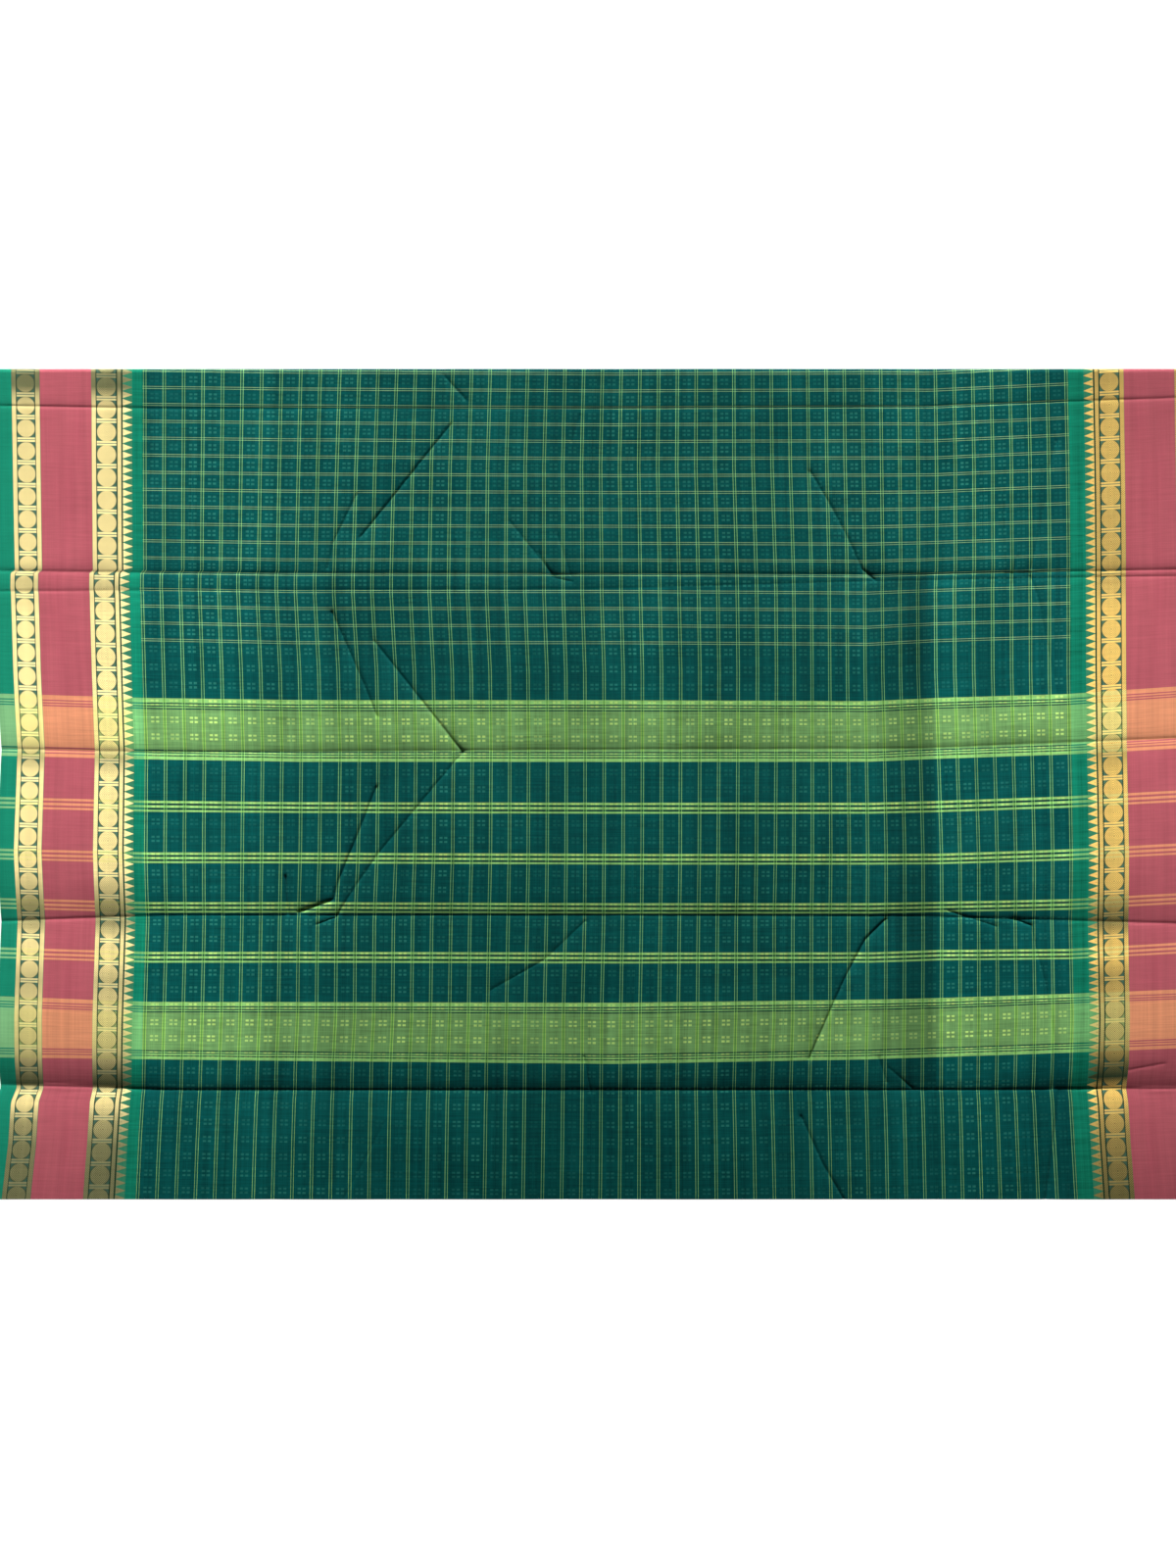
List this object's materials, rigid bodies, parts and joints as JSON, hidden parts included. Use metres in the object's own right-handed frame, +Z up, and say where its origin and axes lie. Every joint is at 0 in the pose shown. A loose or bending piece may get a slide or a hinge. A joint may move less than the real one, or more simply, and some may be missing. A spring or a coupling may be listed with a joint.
{
  "type": "cotton sari",
  "caption": "Cotton sari with woven borders, folded across its length into a flat layered stack, its patterned end and the start of its checked body on top.",
  "frame": {"origin": "under the middle of the folded stack, on the surface it lies on", "axes": "+X across the width of the cloth, +Y along the cloth from the free end on top to the first fold, +Z up out of the stack"},
  "size_m": [1.2066, 0.8038, 0.0218],
  "materials": {
    "pallu_field": "plain-woven fine cotton, dark green, with light green weft bands and lines",
    "body_field": "plain-woven fine cotton, dark green, with light green double-line checks",
    "pallu_border": "cotton with maroon strip, gold thread strips and green selvedge, crossed by orange bands",
    "body_border": "cotton with maroon strip, gold thread strips and green selvedge",
    "folded_layers": "the same checked cotton with its woven borders, in folded layers"
  },
  "bodies": {
    "root": {"pallu_field": "pallu_field", "pallu_border_left": "pallu_border", "pallu_border_right": "pallu_border", "body_field": "body_field", "body_border_left": "body_border", "body_border_right": "body_border", "folded_layers": "folded_layers"}
  },
  "joints": []
}
